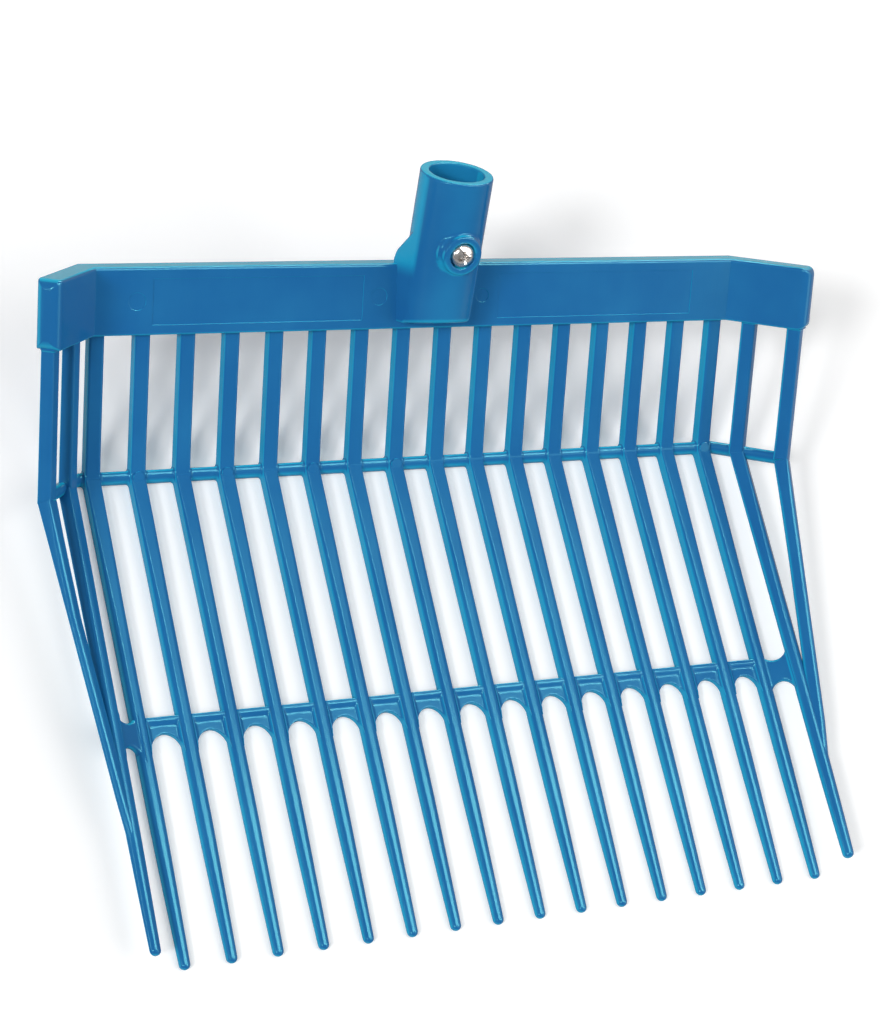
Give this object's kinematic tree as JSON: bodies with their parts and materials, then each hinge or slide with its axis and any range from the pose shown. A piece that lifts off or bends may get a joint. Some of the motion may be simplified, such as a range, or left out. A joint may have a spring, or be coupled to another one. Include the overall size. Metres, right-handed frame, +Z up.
{
  "type": "bedding fork head",
  "caption": "Moulded basket fork head for bedding and manure, with folded wings, a leaning handle socket and its fixing screw, washer and lock nut.",
  "frame": {"origin": "centre of the head's box, on the floor that the backs of the tines rest on", "axes": "+X across the head, along the header; +Y from the tips towards the handle socket; +Z up from the floor"},
  "size_m": [0.405, 0.3428, 0.1253],
  "materials": {
    "blue_moulding": "glossy blue polycarbonate, moulded",
    "polished_steel": "zinc plated and polished",
    "white_nylon": "satin nylon"
  },
  "bodies": {
    "head": {"fork_head": "blue_moulding", "handle_socket": "blue_moulding"},
    "screw": {"fixing_screw": "polished_steel"},
    "nut": {"lock_nut": "polished_steel", "flat_washer": "polished_steel", "nut_insert": "white_nylon"}
  },
  "joints": [
    {"name": "screw_slide", "type": "slide", "parent": "head", "child": "screw", "axis": [0, -0.7677, 0.6408], "range_m": [0, 0.05]},
    {"name": "nut_slide", "type": "slide", "parent": "head", "child": "nut", "axis": [0, 0.7677, -0.6408], "range_m": [0, 0.025]}
  ]
}
